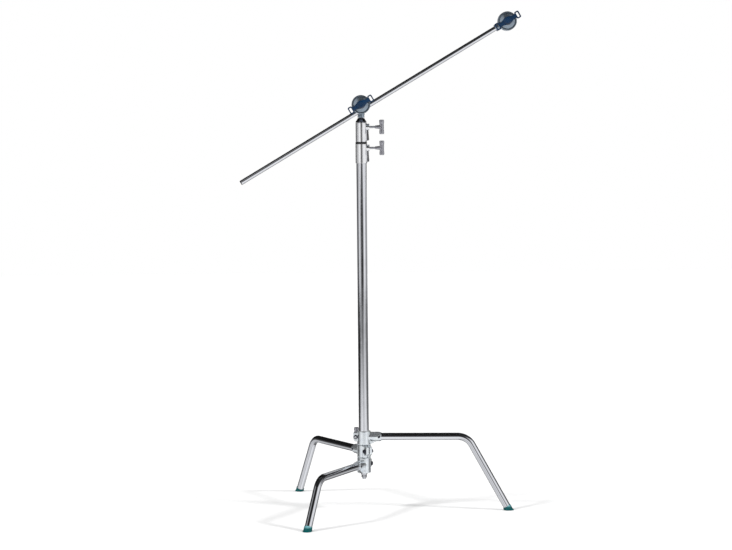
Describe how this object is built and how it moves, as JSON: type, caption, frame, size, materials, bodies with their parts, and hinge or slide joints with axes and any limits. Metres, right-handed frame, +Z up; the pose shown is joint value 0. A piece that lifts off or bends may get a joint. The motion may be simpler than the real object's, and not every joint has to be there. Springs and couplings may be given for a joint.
{
  "type": "c stand",
  "caption": "Lighting stand with nested bent legs, one of them sliding, telescoping risers, a disc grip head and a rising rod arm that carries a second grip head.",
  "frame": {"origin": "on the column's axis at floor level", "axes": "+Z up along the column; the arm rises towards +X and both grip heads face -Y"},
  "size_m": [0.9509, 0.8021, 1.699],
  "materials": {
    "tube_chrome": "polished chrome plate",
    "arm_chrome": "polished chrome plate",
    "collar_bright": "bright tumbled casting",
    "casting_bright": "bright plated casting",
    "casting_head": "satin plated casting",
    "handle_grey": "satin cast grip",
    "knob_blue": "gloss navy enamel",
    "spigot_dark": "dark chrome plate",
    "fastener_dark": "blackened steel",
    "fastener_plated": "zinc plated steel",
    "pad_brass": "machined brass",
    "bush_nylon": "natural nylon",
    "ring_black": "black plastic",
    "friction_disc": "fibre washer",
    "foot_teal": "moulded teal rubber"
  },
  "bodies": {
    "base": {"column_tube": "tube_chrome", "column_collar": "collar_bright", "lower_leg_casting": "casting_bright", "lower_leg_screw": "fastener_dark", "lower_leg_tube": "tube_chrome", "lower_leg_rivet": "fastener_dark", "lower_leg_foot": "foot_teal", "base_plug": "fastener_plated", "base_washer": "fastener_plated", "base_bolt": "fastener_plated"},
    "middle_leg": {"middle_leg_casting": "casting_bright", "middle_leg_screw": "fastener_dark", "middle_leg_tube": "tube_chrome", "middle_leg_rivet": "fastener_dark", "middle_leg_foot": "foot_teal"},
    "leg_slider": {"sliding_leg_bush": "bush_nylon"},
    "sliding_leg": {"sliding_leg_bracket": "casting_bright", "sliding_leg_nut": "fastener_dark", "sliding_leg_tube": "tube_chrome", "sliding_leg_rivet": "fastener_dark", "sliding_leg_foot": "foot_teal"},
    "leg_clamp": {"leg_lock_washer": "fastener_plated"},
    "leg_handle": {"leg_lock_screw": "fastener_plated", "leg_lock_handle": "handle_grey"},
    "column_pad": {"column_lock_pad": "pad_brass"},
    "column_handle": {"column_lock_screw": "fastener_plated", "column_lock_handle": "handle_grey"},
    "riser_1_guide": {"riser_1_bush": "bush_nylon"},
    "riser_1": {"riser_1_tube": "tube_chrome", "riser_1_collar": "collar_bright", "bumper_ring": "ring_black"},
    "riser_pad": {"riser_lock_pad": "pad_brass"},
    "riser_handle": {"riser_lock_screw": "fastener_plated", "riser_lock_handle": "handle_grey"},
    "riser_2_guide": {"riser_2_bush": "bush_nylon"},
    "riser_2": {"riser_2_tube": "tube_chrome", "top_spigot": "spigot_dark", "spigot_pin": "fastener_plated"},
    "head": {"head_body": "casting_head"},
    "head_pad": {"head_lock_pad": "pad_brass"},
    "head_handle": {"head_lock_screw": "fastener_plated", "head_lock_handle": "handle_grey"},
    "head_jaw": {"head_inner_jaw": "casting_head", "head_friction_washer": "friction_disc"},
    "head_clamp": {"head_outer_jaw": "casting_head", "head_thrust_washer": "fastener_plated"},
    "head_grip": {"head_screw": "fastener_plated", "head_knob": "knob_blue"},
    "arm_slider": {"arm_tail_plug": "ring_black"},
    "arm": {"arm_rod": "arm_chrome", "arm_head_body": "casting_head", "arm_head_pin": "fastener_plated"},
    "arm_jaw": {"arm_inner_jaw": "casting_head", "arm_friction_washer": "friction_disc"},
    "arm_clamp": {"arm_outer_jaw": "casting_head", "arm_thrust_washer": "fastener_plated"},
    "arm_grip": {"arm_screw": "fastener_plated", "arm_knob": "knob_blue"}
  },
  "joints": [
    {"name": "middle_leg_swing", "type": "hinge", "parent": "base", "child": "middle_leg", "pos_m": [0, 0, 0.20775], "axis": [0, 0, 1], "range_deg": [0, 122.5]},
    {"name": "sliding_leg_lift", "type": "slide", "parent": "base", "child": "leg_slider", "axis": [0, 0, 1], "range_m": [0, 0.35]},
    {"name": "sliding_leg_swing", "type": "hinge", "parent": "leg_slider", "child": "sliding_leg", "pos_m": [0, 0, 0.2555], "axis": [0, 0, 1], "range_deg": [-114, 6]},
    {"name": "leg_clamp_travel", "type": "slide", "parent": "sliding_leg", "child": "leg_clamp", "axis": [0.0436, 0.999, 0], "range_m": [0, 0.0019]},
    {"name": "leg_handle_turn", "type": "hinge", "parent": "leg_clamp", "child": "leg_handle", "pos_m": [-0.02797, 0.00122, 0.2555], "axis": [0.0436, 0.999, 0], "range_deg": [0, 550]},
    {"name": "column_pad_travel", "type": "slide", "parent": "base", "child": "column_pad", "axis": [1, 0, 0], "range_m": [0, 0.0019]},
    {"name": "column_handle_turn", "type": "hinge", "parent": "column_pad", "child": "column_handle", "pos_m": [0.02, 0, 1.245], "axis": [1, 0, 0], "range_deg": [0, 550]},
    {"name": "riser_1_lift", "type": "slide", "parent": "base", "child": "riser_1_guide", "axis": [0, 0, 1], "range_m": [0, 0.95]},
    {"name": "riser_1_turn", "type": "hinge", "parent": "riser_1_guide", "child": "riser_1", "pos_m": [0, 0, 0.2], "axis": [0, 0, 1], "continuous": true},
    {"name": "riser_pad_travel", "type": "slide", "parent": "riser_1", "child": "riser_pad", "axis": [1, 0, 0], "range_m": [0, 0.0019]},
    {"name": "riser_handle_turn", "type": "hinge", "parent": "riser_pad", "child": "riser_handle", "pos_m": [0.02, 0, 1.316], "axis": [1, 0, 0], "range_deg": [0, 550]},
    {"name": "riser_2_lift", "type": "slide", "parent": "riser_1", "child": "riser_2_guide", "axis": [0, 0, 1], "range_m": [0, 0.95]},
    {"name": "riser_2_turn", "type": "hinge", "parent": "riser_2_guide", "child": "riser_2", "pos_m": [0, 0, 0.2], "axis": [0, 0, 1], "range_deg": [-190, 125]},
    {"name": "head_swivel", "type": "hinge", "parent": "riser_2", "child": "head", "pos_m": [0, 0, 1.365], "axis": [0, 0, 1], "range_deg": [-190, 125]},
    {"name": "head_pad_travel", "type": "slide", "parent": "head", "child": "head_pad", "axis": [0, 1, 0], "range_m": [0, 0.0019]},
    {"name": "head_handle_turn", "type": "hinge", "parent": "head_pad", "child": "head_handle", "pos_m": [0, 0.02, 1.366], "axis": [0, 1, 0], "range_deg": [0, 550]},
    {"name": "head_tilt", "type": "hinge", "parent": "head", "child": "head_jaw", "pos_m": [0, -0.0365, 1.392], "axis": [0, -1, 0], "continuous": true},
    {"name": "head_jaw_travel", "type": "slide", "parent": "head_jaw", "child": "head_clamp", "axis": [0, -1, 0], "range_m": [0, 0.0024]},
    {"name": "head_knob_turn", "type": "hinge", "parent": "head_clamp", "child": "head_grip", "pos_m": [0, -0.06, 1.392], "axis": [0, -1, 0], "range_deg": [0, 550]},
    {"name": "arm_slide", "type": "slide", "parent": "head_jaw", "child": "arm_slider", "axis": [0.8599, 0, 0.5105], "range_m": [-0.48, 0.44]},
    {"name": "arm_roll", "type": "hinge", "parent": "arm_slider", "child": "arm", "pos_m": [0.00817, -0.0365, 1.37824], "axis": [0.8599, 0, 0.5105], "continuous": true},
    {"name": "arm_jaw_tilt", "type": "hinge", "parent": "arm", "child": "arm_jaw", "pos_m": [0.49313, -0.0365, 1.66619], "axis": [0, -1, 0], "continuous": true},
    {"name": "arm_jaw_travel", "type": "slide", "parent": "arm_jaw", "child": "arm_clamp", "axis": [0, -1, 0], "range_m": [0, 0.0024]},
    {"name": "arm_knob_turn", "type": "hinge", "parent": "arm_clamp", "child": "arm_grip", "pos_m": [0.49313, -0.096, 1.66619], "axis": [0, -1, 0], "range_deg": [0, 550]}
  ],
  "couplings": [
    {"joint": "leg_handle_turn", "follows": "leg_clamp_travel", "rad_per_m": 5026.5},
    {"joint": "column_handle_turn", "follows": "column_pad_travel", "rad_per_m": 5026.5},
    {"joint": "riser_handle_turn", "follows": "riser_pad_travel", "rad_per_m": 5026.5},
    {"joint": "head_handle_turn", "follows": "head_pad_travel", "rad_per_m": 5026.5},
    {"joint": "head_knob_turn", "follows": "head_jaw_travel", "rad_per_m": 3957.9},
    {"joint": "arm_knob_turn", "follows": "arm_jaw_travel", "rad_per_m": 3957.9}
  ]
}
